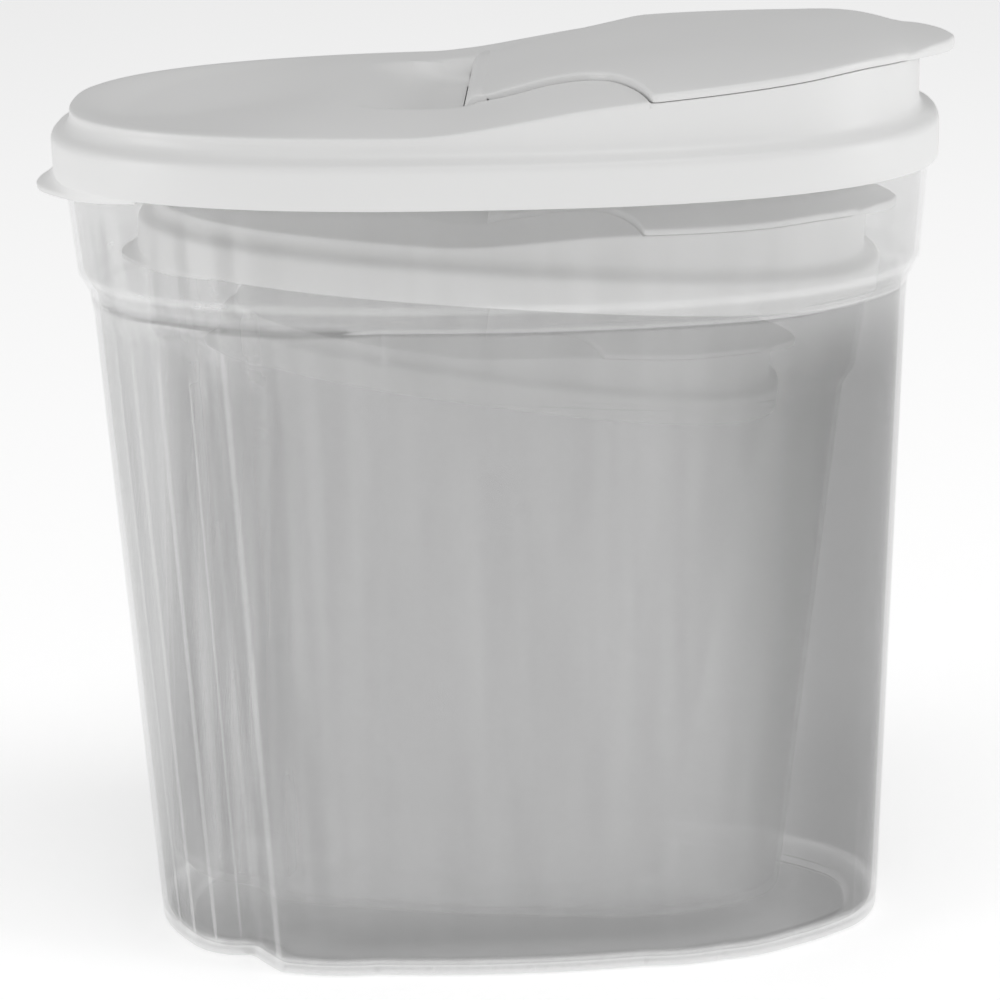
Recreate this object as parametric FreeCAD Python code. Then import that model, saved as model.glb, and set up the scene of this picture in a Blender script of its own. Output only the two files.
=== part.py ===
"""Nested set of three flip-top cereal canisters: every canister is a tub, a snap-on lid and a flap.

Units are millimetres. +X is the pouring end, -X the grip end with the pull tab, +Z is up, and
the origin is the middle of the large tub's base.
"""

import FreeCAD, Part
import math
import os
from FreeCAD import Vector

# ---------------------------------------------------------------- driving dimensions (large size)
HALF_LENGTH = 120.0      # lid skirt, middle to end
HALF_WIDTH = 65.2        # lid skirt, middle to side
OVAL_POWER = 2.45        # superellipse exponent of every lid outline
OVAL_POINTS = 32         # through which each outline is drawn

SKIRT_BOTTOM = 224.0
TUB_RIM = 233.6
RIM_GAP = 0.5            # tub rim to the lid above it
LID_SHOULDER = 236.9     # foot of the collar
COLLAR_INSET = 5.4       # collar wall inside the skirt outline
COLUMN_TOP = 270.0       # well above everything, for cutting tools
HALF_SPAN = 90.0         # well beyond the sides, for cutting tools
SKIRT_GAP = 0.5          # tub to skirt, all round
PLUG_DEPTH = 6.5         # ring of the lid that hangs inside the tub's mouth
PLUG_GAP = 0.7

SHOULDER_TOP = 197.0     # chamfer under the tub's upper band
SHOULDER_FOOT = 190.5
LEDGE = 1.6              # plate that joins the narrower body to the band above it
BAND_FOOT_INSET, BAND_INSET, RIM_INSET = 8.0, 4.6, 1.5
RECESS_TOP = 182.5       # where the roof of the grip recess meets its wall
FOOT_CHAMFER = 1.2
FLOOR_THICKNESS = 1.7
KICK_UP = 1.0            # raised middle of the floor, hollow below
KICK_INSET = 9.0
RIB_RADIUS = 0.7         # fine upright ribs of the grip
RIB_ANGLES = (42.0, 54.0, 66.0, 78.0)

# height of the lid's edge along X: level at the grip end, rising to the pouring end
EDGE_PROFILE = ((-130, 241.7), (-20, 241.7), (-9, 242.5), (9, 245.2), (27, 248.0), (43, 249.5),
                (62, 250.7), (80, 251.9), (99, 253.3), (112, 252.5), (128, 251.0))
# how far the middle stands above the edge, and how deep the valley of the grip half is
CROWN_PROFILE = ((-130, 0.3), (-95, 0.3), (-62, 1.2), (-43, 2.6), (-20, 2.8), (-6, 2.3),
                 (2, 2.3), (16, 3.4), (50, 4.2), (75, 3.6), (95, 2.4), (112, 1.6), (128, 1.2))
VALLEY_PROFILE = ((-130, 4.5), (-100, 5.2), (-86, 5.2), (-75, 4.3), (-62, 2.8), (-51, 1.5),
                  (-38, 0.2), (-30, 0.0), (128, 0.0))
VALLEY_ROUNDING = 5.0
CROWN_POWER = 3.0
SURFACE_SPANS = (18, 10)  # of the domed top, along and across
SURFACE_REACH = (129.0, 77.0)

FLAP_THICKNESS = 1.8     # from the deck's surface to the flap's top
FLAP_LIFT = 0.2          # flap's underside above the surface that the deck follows
FLAP_EDGE_GAP = 0.45     # flap to lid, at the sides and below
HINGE_X, HINGE_Z = -2.3, 242.6
HINGE_RADIUS = 4.4       # rolled end of the flap
HINGE_HALF = 30.8        # half length of the rolled end
PIN_RADIUS, PIN_LENGTH, PIN_CLEARANCE = 1.5, 2.0, 0.35
POCKET_LEFT, POCKET_RIGHT = -35.0, 3.2
POCKET_SIDE_GAP = 0.5
TROUGH_FLOOR = 237.6
POCKET_TOP, POCKET_RUN = 243.3, 27.0
MOUTH_LEFT, MOUTH_RIGHT, MOUTH_INSET = 17.0, 104.0, 11.5
FLAP_PLUG_DEPTH, FLAP_PLUG_GAP = 3.2, 0.7

TAB_TIP, TAB_HALF, TAB_ROOT = -126.2, 46.0, -93.0
TAB_DROP, TAB_THICKNESS = 5.0, 1.6


class Canister:
    """One size of the set, with its scale in each direction and where it stands."""

    wall = 1.6

    def __init__(self, name, length, width, height, x, z, tilt):
        self.name = name
        self.length, self.width, self.height = length, width, height
        self.place = FreeCAD.Placement(
            Vector(x, 0, z), FreeCAD.Rotation(Vector(0, 1, 0), tilt))

    def at(self, x, y, z):
        """A point of the large size's drawing, scaled to this size."""
        return Vector(x * self.length, y * self.width, z * self.height)


SIZES = (
    Canister("large", 1.0, 1.0, 1.0, 0.0, 0.0, 0.0),
    Canister("medium", 0.846, 0.800, 0.808, -12.0, 14.2, 4.6),
    Canister("small", 0.650, 0.615, 0.638, -22.9, 23.0, 8.8),
)


# ---------------------------------------------------------------- profiles along X
def profile(points, x):
    """Height at x of a smooth line through points, level at flat stretches (monotone cubic)."""
    xs = [p[0] for p in points]
    zs = [p[1] for p in points]
    x = min(max(x, xs[0]), xs[-1])
    slopes = [(zs[i + 1] - zs[i]) / (xs[i + 1] - xs[i]) for i in range(len(xs) - 1)]

    def tangent(i):
        if i == 0 or i == len(xs) - 1:
            return slopes[0] if i == 0 else slopes[-1]
        before, after = slopes[i - 1], slopes[i]
        return 0.0 if before * after <= 0 else 2 * before * after / (before + after)

    i = max(k for k in range(len(xs) - 1) if xs[k] <= x)
    step = xs[i + 1] - xs[i]
    t = (x - xs[i]) / step
    return ((2 * t**3 - 3 * t**2 + 1) * zs[i] + (t**3 - 2 * t**2 + t) * step * tangent(i)
            + (3 * t**2 - 2 * t**3) * zs[i + 1] + (t**3 - t**2) * step * tangent(i + 1))


def oval_half(x, inset):
    """Half width at x of the lid's oval outline, drawn inset from the skirt."""
    share = min(abs(x) / (HALF_LENGTH - inset), 0.995)
    return (HALF_WIDTH - inset) * (1 - share**OVAL_POWER) ** (1 / OVAL_POWER)


def top_height(x, y):
    """Upper surface of the lid's deck, and of the flap's shell below its thickness."""
    half = max(oval_half(x, COLLAR_INSET), 22.0)
    across = min(abs(y) / half, 1.25)
    dome = profile(CROWN_PROFILE, x) * (1 - across**CROWN_POWER)
    soft = math.sqrt(y * y + VALLEY_ROUNDING**2) - VALLEY_ROUNDING
    valley = profile(VALLEY_PROFILE, x) * max(1 - soft / (0.92 * half), -0.1)
    return profile(EDGE_PROFILE, x) + dome - valley


# ---------------------------------------------------------------- small builders
def oval(size, z, inset=0.0, thickness=0.0):
    """Superellipse wire. inset scales with the size, thickness does not."""
    a = (HALF_LENGTH - inset) * size.length - thickness
    b = (HALF_WIDTH - inset) * size.width - thickness
    points = []
    for i in range(OVAL_POINTS):
        angle = 2 * math.pi * i / OVAL_POINTS
        c, s = math.cos(angle), math.sin(angle)
        points.append(Vector(math.copysign(a * abs(c) ** (2 / OVAL_POWER), c),
                             math.copysign(b * abs(s) ** (2 / OVAL_POWER), s),
                             z * size.height))
    curve = Part.BSplineCurve()
    curve.interpolate(Points=points, PeriodicFlag=True)
    return Part.Wire([curve.toShape()])


def stack(wires):
    return Part.makeLoft(wires, True, True)


def inset_corners(corners, distance):
    """Moves a closed outline of (x, y, radius) corners inwards by distance."""
    moved = []
    count = len(corners)
    for i in range(count):
        before, here, after = corners[i - 1], corners[i], corners[(i + 1) % count]
        d1 = Vector(here[0] - before[0], here[1] - before[1], 0).normalize()
        d2 = Vector(after[0] - here[0], after[1] - here[1], 0).normalize()
        n1, n2 = Vector(-d1.y, d1.x, 0), Vector(-d2.y, d2.x, 0)
        turn = d1.x * d2.y - d1.y * d2.x
        shift = (n1 + n2) * (distance / (1 + n1.dot(n2)))
        radius = here[2] - distance if turn > 0 else here[2] + distance
        moved.append((here[0] + shift.x, here[1] + shift.y, max(radius, 0.6)))
    return moved


def rounded_wire(corners, z):
    """Closed wire of straight runs and tangent arcs, counter-clockwise."""
    count = len(corners)
    ends = []
    for i in range(count):
        before, here, after = corners[i - 1], corners[i], corners[(i + 1) % count]
        point = Vector(here[0], here[1], z)
        d1 = (point - Vector(before[0], before[1], z)).normalize()
        d2 = (Vector(after[0], after[1], z) - point).normalize()
        half_turn = 0.5 * d1.getAngle(d2)
        reach = here[2] * math.tan(half_turn)
        start, end = point - d1 * reach, point + d2 * reach
        inward = (d2 - d1).normalize()
        middle = point + inward * (here[2] / math.cos(half_turn) - here[2])
        ends.append((start, middle, end))
    edges = []
    for i in range(count):
        start, middle, end = ends[i]
        edges.append(Part.Arc(start, middle, end).toShape())
        edges.append(Part.LineSegment(end, ends[(i + 1) % count][0]).toShape())
    return Part.Wire(edges)


def mirrored(half):
    """A full outline from the corners of its -Y half, listed from the -X end."""
    return half + [(x, -y, r) for x, y, r in reversed(half)]


def slab(size, points):
    """XZ outline extruded across the whole width."""
    wire = Part.makePolygon([size.at(x, -HALF_SPAN, z) for x, z in points + points[:1]])
    return Part.Face(wire).extrude(Vector(0, 2 * HALF_SPAN * size.width, 0))


def above_profile(size, height_of, x_low, x_high, drop=0.0, steps=16):
    """Everything above the line height_of(x) - drop, from x_low to x_high."""
    line = []
    for i in range(steps + 1):
        x = x_low + (x_high - x_low) * i / steps
        line.append(size.at(x, -HALF_SPAN, height_of(x)) - Vector(0, 0, drop))
    curve = Part.BSplineCurve()
    curve.interpolate(Points=line)
    top_right, top_left = size.at(x_high, -HALF_SPAN, COLUMN_TOP), size.at(x_low, -HALF_SPAN, COLUMN_TOP)
    wire = Part.Wire([curve.toShape(), Part.LineSegment(line[-1], top_right).toShape(),
                      Part.LineSegment(top_right, top_left).toShape(),
                      Part.LineSegment(top_left, line[0]).toShape()])
    return Part.Face(wire).extrude(Vector(0, 2 * HALF_SPAN * size.width, 0))


def below_top(size, lowered=0.0):
    """Everything below the domed top surface, lowered by a thickness."""
    x_steps, y_steps = SURFACE_SPANS
    grid = []
    for i in range(x_steps + 1):
        x = SURFACE_REACH[0] * (2 * i / x_steps - 1)
        row = []
        for j in range(y_steps + 1):
            y = SURFACE_REACH[1] * (2 * j / y_steps - 1)
            row.append(size.at(x, y, top_height(x, y)) - Vector(0, 0, lowered))
        grid.append(row)
    surface = Part.BSplineSurface()
    surface.interpolate(grid)
    return surface.toShape().extrude(Vector(0, 0, -60.0 * size.height))


def prism(size, wire_points, low, high):
    """Upright prism over a plan outline made of edges (see plan_wire)."""
    face = Part.Face(plan_wire(size, wire_points, low))
    return face.extrude(Vector(0, 0, (high - low) * size.height))


def plan_wire(size, pieces, z):
    """Closed plan wire: each piece is a list of points, two for a line, more for a spline."""
    edges = []
    for piece in pieces:
        points = [size.at(x, y, z) for x, y in piece]
        if len(points) == 2:
            edges.append(Part.LineSegment(points[0], points[1]).toShape())
        else:
            curve = Part.BSplineCurve()
            curve.interpolate(Points=points)
            edges.append(curve.toShape())
    return Part.Wire(edges)


def flap_mask(grow):
    """Plan region of the flap, wider than the lid at the pouring end, grown by a gap."""
    left = HINGE_X - grow
    side = HINGE_HALF + grow
    sweep = [(16 - grow, -side), (24 - grow, -32.6 - grow), (31.7 - grow, -37.2 - grow * 0.8),
             (37 - grow, -44.3 - grow * 0.5), (42.6 - grow, -57.6), (44.4 - grow, -70)]
    back = [(x, -y) for x, y in reversed(sweep)]
    return [[(left, side), (left, -side)], [(left, -side), sweep[0]], sweep,
            [sweep[-1], (140, -70)], [(140, -70), (140, 70)], [(140, 70), back[0]],
            back, [back[-1], (left, side)]]


def pocket_mask(grow):
    """Plan region of the hinge pocket: straight at the flap, rounded at the grip side."""
    side = HINGE_HALF + POCKET_SIDE_GAP + grow
    left, right = POCKET_LEFT - grow, POCKET_RIGHT + grow
    bow = [(-14, -side), (-22, -side + 2.5), (-31, -side + 13), (left, 0)]
    bow += [(x, -y) for x, y in reversed(bow[:-1])]
    return [[(right, side), (right, -side)], [(right, -side), bow[0]], bow,
            [bow[-1], (right, side)]]


def mouth_corners(size, thickness=0.0):
    """Rounded outline of the pour mouth, inside the collar at the pouring end."""
    half = []
    for x, radius in ((MOUTH_LEFT, 12.0), (48.0, 40.0), (80.0, 30.0), (MOUTH_RIGHT, 14.0)):
        y = -28.0 if x == MOUTH_LEFT else -oval_half(x, MOUTH_INSET)
        half.append((x * size.length, y * size.width, radius * size.width))
    return inset_corners(mirrored(half), thickness)


# ---------------------------------------------------------------- tub
def body_corners(size, share):
    """Plan of the tub's lower body, share 0 at the base and 1 under the shoulder."""
    def between(base, top):
        return base + (top - base) * share

    half = [
        (between(-104.3, -112.2), between(-12.2, -13.6), between(35.0, 38.0)),
        (between(-87.6, -95.2), between(-35.3, -37.6), 19.0),
        (between(-74.8, -80.5), between(-35.3, -37.6), 4.0),
        (between(-65.6, -71.6), between(-46.4, -49.6), 3.4),
        (between(0.0, 14.0), between(-51.0, -57.2), 330.0),
        (between(71.0, 77.0), between(-39.6, -46.5), 50.0),
        (between(97.3, 103.0), between(-21.6, -24.6), 4.0),
        (between(105.4, 111.8), between(-12.9, -15.2), between(27.0, 31.0)),
    ]
    return [(x * size.length, y * size.width, r * size.width) for x, y, r in half]


def roof_corners(size):
    """Plan at the foot of the shoulder, where the grip recess has run out."""
    half = [
        (-112.3, -14.6, 36.0),
        (-97.6, -36.6, 18.0),
        (-84.6, -43.8, 4.0),
        (-71.8, -49.8, 8.0),
        (14.0, -57.4, 330.0),
        (77.1, -46.7, 50.0),
        (103.2, -24.7, 4.0),
        (112.0, -15.3, 31.0),
    ]
    return [(x * size.length, y * size.width, r * size.width) for x, y, r in half]


def body_wire(size, share, z, inset=0.0, roof=False):
    half = roof_corners(size) if roof else body_corners(size, share)
    return rounded_wire(inset_corners(mirrored(half), inset), z * size.height)


def make_tub(size):
    wall = size.wall
    chamfer = FOOT_CHAMFER * size.height
    outside = stack([
        body_wire(size, 0.0, 0.0, chamfer), body_wire(size, 0.0, FOOT_CHAMFER),
        body_wire(size, 0.97, RECESS_TOP), body_wire(size, 1.0, SHOULDER_FOOT, 0.0, True),
    ])
    band = stack([
        oval(size, SHOULDER_FOOT - LEDGE, BAND_FOOT_INSET),
        oval(size, SHOULDER_FOOT, BAND_FOOT_INSET), oval(size, SHOULDER_TOP, BAND_INSET),
        oval(size, TUB_RIM, RIM_INSET, SKIRT_GAP),
    ])
    floor = FLOOR_THICKNESS / size.height
    kick = KICK_UP / size.height
    hollow = stack([
        body_wire(size, 0.0, floor, wall + 1.5), body_wire(size, 0.01, floor + 2.0, wall),
        body_wire(size, 0.97, RECESS_TOP, wall),
        body_wire(size, 1.0, SHOULDER_FOOT, wall, True),
        body_wire(size, 1.0, SHOULDER_FOOT + 1.0, wall, True),
    ])
    band_hollow = stack([
        oval(size, SHOULDER_FOOT, BAND_FOOT_INSET, wall),
        oval(size, SHOULDER_TOP, BAND_INSET, wall),
        oval(size, TUB_RIM, RIM_INSET, SKIRT_GAP + wall),
    ])
    tub = outside.fuse(band).cut(hollow).cut(band_hollow)
    kick_inset = KICK_INSET * size.width
    raised = stack([body_wire(size, 0.0, 0.0, kick_inset - wall),
                    body_wire(size, 0.0, floor + kick, kick_inset - wall + 1.0)])
    below = stack([body_wire(size, 0.0, 0.0, kick_inset),
                   body_wire(size, 0.0, kick, kick_inset + 1.0)])
    tub = tub.fuse(raised).cut(below)
    return tub.fuse(grip_ribs(size)).removeSplitter()


def grip_ribs(size):
    """Fine upright ribs on both sides of the rounded grip end."""
    ribs = []
    radius = RIB_RADIUS * size.width
    for side in (-1, 1):
        for angle in RIB_ANGLES:
            ends = []
            for share, z in ((0.0, 3.0), (0.96, RECESS_TOP - 3.0)):
                left, _, bend = body_corners(size, share)[0]
                turn = math.radians(angle)
                centre_x, centre_y = left + bend, 0.0
                reach = bend - 0.3
                ends.append(Vector(centre_x - reach * math.cos(turn),
                                   side * (centre_y + reach * math.sin(turn)),
                                   z * size.height))
            run = ends[1] - ends[0]
            ribs.append(Part.makeCylinder(radius, run.Length, ends[0], run))
    return ribs[0].fuse(ribs[1:])


# ---------------------------------------------------------------- lid
def edge_height(x):
    return profile(EDGE_PROFILE, x)


def above_pocket_floor(size, drop=0.0):
    """Room above a floor that slopes from the deck down to the trough of the rolled hinge end."""
    slope = (POCKET_TOP - TROUGH_FLOOR) / POCKET_RUN
    start, end = POCKET_LEFT - 7.0, POCKET_RIGHT + 5.0
    return slab(size, [(start, POCKET_TOP + 7.0 * slope - drop),
                       (POCKET_LEFT + POCKET_RUN, TROUGH_FLOOR - drop),
                       (end, TROUGH_FLOOR - drop), (end, COLUMN_TOP), (start, COLUMN_TOP)])


def make_lid(size):
    wall = size.wall
    skirt = stack([
        oval(size, SKIRT_BOTTOM), oval(size, 234.4), oval(size, 235.6, 0.6),
        oval(size, 236.3, 1.6), oval(size, LID_SHOULDER, 4.6), oval(size, 237.6, COLLAR_INSET),
        oval(size, COLUMN_TOP, COLLAR_INSET),
    ])
    flap_above = above_profile(size, edge_height, -20.0, 130.0, FLAP_EDGE_GAP)
    flap_space = prism(size, flap_mask(FLAP_EDGE_GAP), 228.0, COLUMN_TOP - 1)
    pocket_space = prism(size, pocket_mask(0.0), 228.0, COLUMN_TOP - 1)
    lid = skirt.common(below_top(size))
    lid = lid.cut(flap_space.common(flap_above)).cut(pocket_space.common(above_pocket_floor(size)))

    # hollow underneath: the room for the tub's rim, and the space inside the collar
    ceiling = (TUB_RIM + RIM_GAP / size.height)
    rim_room = stack([oval(size, SKIRT_BOTTOM - 1, 1.5), oval(size, ceiling, 1.5)])
    inner = stack([oval(size, SKIRT_BOTTOM - 2, COLLAR_INSET, wall),
                   oval(size, COLUMN_TOP, COLLAR_INSET, wall)])
    grow = wall / size.width
    kept_flap = prism(size, flap_mask(FLAP_EDGE_GAP + grow), 229.0, COLUMN_TOP).common(
        above_profile(size, edge_height, -20.0, 130.0, FLAP_EDGE_GAP + wall))
    kept_pocket = prism(size, pocket_mask(grow), 229.0, COLUMN_TOP).common(
        above_pocket_floor(size, wall))
    inner = inner.common(below_top(size, wall)).cut(kept_flap).cut(kept_pocket)
    lid = lid.cut(rim_room).cut(inner)

    plug_foot = ceiling - PLUG_DEPTH
    outer_edge = SKIRT_GAP + wall + PLUG_GAP
    ring = stack([oval(size, plug_foot, 1.5, outer_edge), oval(size, ceiling + 0.6, 1.5, outer_edge)])
    ring = ring.cut(stack([oval(size, plug_foot, 1.5, outer_edge + wall),
                           oval(size, ceiling + 0.6, 1.5, outer_edge + wall)]))
    lid = lid.fuse(ring)

    mouth = stack([rounded_wire(mouth_corners(size), 225 * size.height),
                   rounded_wire(mouth_corners(size), COLUMN_TOP * size.height)])
    lid = lid.cut(mouth).cut(hinge_pins(size, PIN_CLEARANCE, 0.5))
    return lid.fuse(pull_tab(size)).removeSplitter()


def pull_tab(size):
    """Crescent at the grip end, flaring out and down from the skirt."""
    outline = [(TAB_ROOT, -TAB_HALF), (-105.5, -36.0), (-119.0, -20.0), (TAB_TIP, 0),
               (-119.0, 20.0), (-105.5, 36.0), (TAB_ROOT, TAB_HALF)]
    plan = [outline, [outline[-1], outline[0]]]
    sheet = prism(size, plan, 210.0, 240.0)
    root_z = SKIRT_BOTTOM + TAB_THICKNESS
    slope = TAB_DROP / 14.0
    points = [(-130, root_z - slope * 18), (-112, root_z), (-80, root_z),
              (-80, root_z - TAB_THICKNESS), (-112, root_z - TAB_THICKNESS),
              (-130, root_z - slope * 18 - TAB_THICKNESS)]
    crescent = sheet.common(slab(size, points))
    core = stack([oval(size, 205.0, 1.0), oval(size, 245.0, 1.0)])
    return crescent.cut(core)


def hinge_pins(size, clearance=0.0, extra=0.0):
    """The two trunnions of the flap, or with a clearance the sockets that hold them."""
    radius = PIN_RADIUS * size.height + clearance
    pins = []
    for side in (-1, 1):
        start = size.at(HINGE_X, side * (HINGE_HALF - 2.0), HINGE_Z)
        length = (2.0 + PIN_LENGTH) * size.width + extra
        pins.append(Part.makeCylinder(radius, length, start, Vector(0, side, 0)))
    return Part.makeCompound(pins) if clearance else pins[0].fuse(pins[1])


# ---------------------------------------------------------------- flap
def make_flap(size):
    collar = stack([oval(size, 225.0, COLLAR_INSET), oval(size, COLUMN_TOP, COLLAR_INSET)])
    lip = [(96.0, -36.5), (108.0, -26.6), (112.2, -22.4), (117.2, -16.2), (121.8, -8.8),
           (124.6, 0.0), (121.8, 8.8), (117.2, 16.2), (112.2, 22.4), (108.0, 26.6),
           (96.0, 36.5)]
    lip_space = prism(size, [lip, [lip[-1], lip[0]]], 225.0, COLUMN_TOP)
    plan = collar.fuse(lip_space).common(prism(size, flap_mask(0.0), 226.0, COLUMN_TOP - 2))
    raised = -FLAP_THICKNESS
    shell = plan.common(below_top(size, raised)).cut(below_top(size, -FLAP_LIFT))
    start = size.at(HINGE_X, -HINGE_HALF, HINGE_Z)
    radius = HINGE_RADIUS * size.height
    barrel = Part.makeCylinder(radius, 2 * HINGE_HALF * size.width, start, Vector(0, 1, 0))
    return shell.fuse(barrel).fuse(hinge_pins(size)).fuse(flap_plug(size)).removeSplitter()


def flap_plug(size):
    """Ring under the flap that fills the pour mouth, following the dome above it."""
    foot = edge_height(MOUTH_LEFT) - FLAP_PLUG_DEPTH
    outer, inner = mouth_corners(size, FLAP_PLUG_GAP), mouth_corners(size, FLAP_PLUG_GAP + size.wall)
    low, high = 236.0 * size.height, (COLUMN_TOP - 1) * size.height
    ring = stack([rounded_wire(outer, low), rounded_wire(outer, high)])
    ring = ring.cut(stack([rounded_wire(inner, low), rounded_wire(inner, high)]))
    depth = above_profile(size, edge_height, -20.0, 130.0, FLAP_PLUG_DEPTH * size.height)
    return ring.common(depth).common(below_top(size, -0.5 * FLAP_THICKNESS))


# ---------------------------------------------------------------- write the nodes
def main():
    os.makedirs("parts", exist_ok=True)
    drawing = SIZES[0]
    mouldings = (("tub", make_tub(drawing)), ("lid", make_lid(drawing)),
                 ("flap", make_flap(drawing)))
    for size in SIZES:
        scale = FreeCAD.Matrix()
        scale.scale(Vector(size.length, size.width, size.height))
        for part, moulding in mouldings:
            shape = moulding.Solids[0]
            if size is not drawing:
                shape = shape.transformGeometry(scale)
            shape.Placement = size.place
            name = size.name + "_" + part
            shape.exportStep("parts/" + name + ".step")
            print(name, shape.ShapeType, shape.isValid(), round(shape.Volume / 1000, 2), "cm3")


main()
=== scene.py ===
"""Looks for the nested set of three flip-top cereal canisters.

Every moulding is drawn once, in millimetres at the size of the large canister, and is then scaled,
tilted and placed for each canister. +X is the pouring end, -X the grip end, +Z is up.
"""

import math

import bmesh
import bpy
import numpy as np
from mathutils import Matrix, Vector
from mathutils.geometry import delaunay_2d_cdt


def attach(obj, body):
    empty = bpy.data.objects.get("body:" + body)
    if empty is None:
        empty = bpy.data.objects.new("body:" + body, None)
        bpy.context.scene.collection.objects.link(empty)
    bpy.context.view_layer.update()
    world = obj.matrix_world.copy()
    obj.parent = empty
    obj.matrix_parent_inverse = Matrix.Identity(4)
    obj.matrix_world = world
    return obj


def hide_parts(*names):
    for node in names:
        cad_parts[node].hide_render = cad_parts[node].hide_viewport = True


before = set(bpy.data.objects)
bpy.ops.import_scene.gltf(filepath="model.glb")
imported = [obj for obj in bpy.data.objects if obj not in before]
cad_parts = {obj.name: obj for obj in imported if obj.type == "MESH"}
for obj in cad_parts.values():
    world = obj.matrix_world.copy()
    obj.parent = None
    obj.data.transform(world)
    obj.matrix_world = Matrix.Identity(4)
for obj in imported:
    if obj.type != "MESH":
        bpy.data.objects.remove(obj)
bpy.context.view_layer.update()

# ---------------------------------------------------------------- driving dimensions, mm
HALF_LENGTH, HALF_WIDTH, OVAL_POWER = 120.0, 65.2, 2.45
SKIRT_BOTTOM, TUB_RIM, CEILING = 224.0, 233.6, 234.1
COLLAR_INSET, WALL, SHELL = 5.4, 1.6, 1.5
PLUG_INSET, PLUG_DEPTH, DECK_EDGE = 4.3, 6.5, 0.8
SHOULDER_FOOT, SHOULDER_TOP, RECESS_TOP = 190.5, 197.0, 182.5
BAND_FOOT_INSET, BAND_INSET, RIM_INSET = 8.0, 4.6, 2.0
FLOOR, KICK_UP, KICK_INSET = 1.7, 1.0, 9.0
RIB_HEIGHT, RIB_SPREAD, RIB_FOOT, RIB_FADE = 0.5, 0.6, 4.0, 6.0
# how far the wall has leaned out, of the way to the recess top's own outline, where it ends
WALL_LEAN = 0.97
RIB_ANGLES = (42.0, 54.0, 66.0, 78.0)

EDGE_PROFILE = ((-130, 241.7), (-20, 241.7), (-9, 242.5), (9, 245.2), (27, 248.0), (43, 249.5),
                (62, 250.7), (80, 251.9), (99, 253.3), (112, 252.5), (128, 251.0))
CROWN_PROFILE = ((-130, 0.3), (-95, 0.3), (-62, 1.2), (-43, 2.6), (-20, 2.8), (-6, 2.3),
                 (2, 2.3), (16, 3.4), (50, 4.2), (75, 3.6), (95, 2.4), (112, 1.6), (128, 1.2))
VALLEY_PROFILE = ((-130, 4.5), (-100, 5.2), (-86, 5.2), (-75, 4.3), (-62, 2.8), (-51, 1.5),
                  (-38, 0.2), (-30, 0.0), (128, 0.0))
VALLEY_ROUNDING, VALLEY_FADE, CROWN_POWER = 5.0, 0.3, 3.0

FLAP_TOP, FLAP_UNDER, FLAP_GAP = 1.8, 0.2, 0.45
HINGE_X, HINGE_Z, HINGE_RADIUS, HINGE_HALF = -2.3, 242.6, 4.4, 30.8
HEEL_BLEND, HEEL_TURNS = 7.0, 48
PIN_RADIUS, PIN_LENGTH = 1.5, 2.0
TROUGH_LEFT, TROUGH_RIGHT, TROUGH_SIDE, TROUGH_FLOOR = -7.5, 3.2, 31.3, 237.6
SCOOP_LENGTH, SCOOP_SIDE, SCOOP_BLEND, SCOOP_END = 30.0, 33.5, 0.7, 5.0
FLAP_SWEEP = ((16.0, -30.8), (24.0, -32.6), (31.7, -37.2), (37.0, -44.3), (42.6, -57.6),
              (44.4, -70.0))
LIP = ((108.0, -26.4), (112.2, -22.4), (117.2, -16.2), (121.8, -8.8), (124.4, 0.0))
MOUTH = ((17.0, -28.0, 12.0), (48.0, -49.4, 40.0), (80.0, -40.2, 30.0), (104.0, -22.6, 14.0))
TAB_RIM = ((-92.0, -46.8, 224.4), (-105.6, -36.5, 222.6), (-118.8, -20.0, 221.2),
           (-125.8, 0.0, 220.2), (-118.8, 20.0, 221.2), (-105.6, 36.5, 222.6),
           (-92.0, 46.8, 224.4))
TAB_ROOT_RISE, TAB_THICKNESS = 2.6, 1.2
# how far out of the skirt, and how far down to the rim, along the tab's hollow flare
TAB_SECTION = ((0.0, 0.0), (0.08, 0.22), (0.2, 0.44), (0.38, 0.65), (0.6, 0.82), (0.8, 0.93),
               (0.94, 1.0), (1.0, 1.06))

# the lid's outside from the skirt's foot to the collar, as inset from the oval and height
LID_OUTSIDE = ((1.5, 224.35), (1.3, 224.08), (1.1, 224.0), (0.45, 224.0), (0.13, 224.13),
               (0.0, 224.6), (0.0, 228.0), (0.0, 232.4), (0.0, 233.6), (0.12, 234.4),
               (0.45, 235.1), (0.95, 235.6), (1.6, 236.0), (2.4, 236.3), (3.2, 236.6),
               (3.9, 236.95), (4.5, 237.45), (4.95, 238.1), (5.25, 238.9), (COLLAR_INSET, 239.8))

#            name, length, width, height, x, z, tilt in degrees
CANISTERS = (("large", 1.0, 1.0, 1.0, 0.0, 0.0, 0.0),
             ("medium", 0.846, 0.800, 0.808, -12.0, 14.2, 4.6),
             ("small", 0.650, 0.615, 0.638, -22.9, 23.0, 8.8))


# ---------------------------------------------------------------- heights of the lid's top
def profile(points, x):
    """Smooth line through points, level at flat stretches (monotone cubic)."""
    xs = np.array([p[0] for p in points], float)
    zs = np.array([p[1] for p in points], float)
    slopes = np.diff(zs) / np.diff(xs)
    before, after = slopes[:-1], slopes[1:]
    total = np.where(before * after > 0, before + after, 1.0)
    inner = np.where(before * after > 0, 2 * before * after / total, 0.0)
    tangents = np.concatenate([slopes[:1], inner, slopes[-1:]])
    x = np.clip(x, xs[0], xs[-1] - 1e-9)
    i = np.searchsorted(xs, x, side="right") - 1
    step = xs[i + 1] - xs[i]
    t = (x - xs[i]) / step
    return ((2 * t**3 - 3 * t**2 + 1) * zs[i] + (t**3 - 2 * t**2 + t) * step * tangents[i]
            + (3 * t**2 - 2 * t**3) * zs[i + 1] + (t**3 - t**2) * step * tangents[i + 1])


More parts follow.
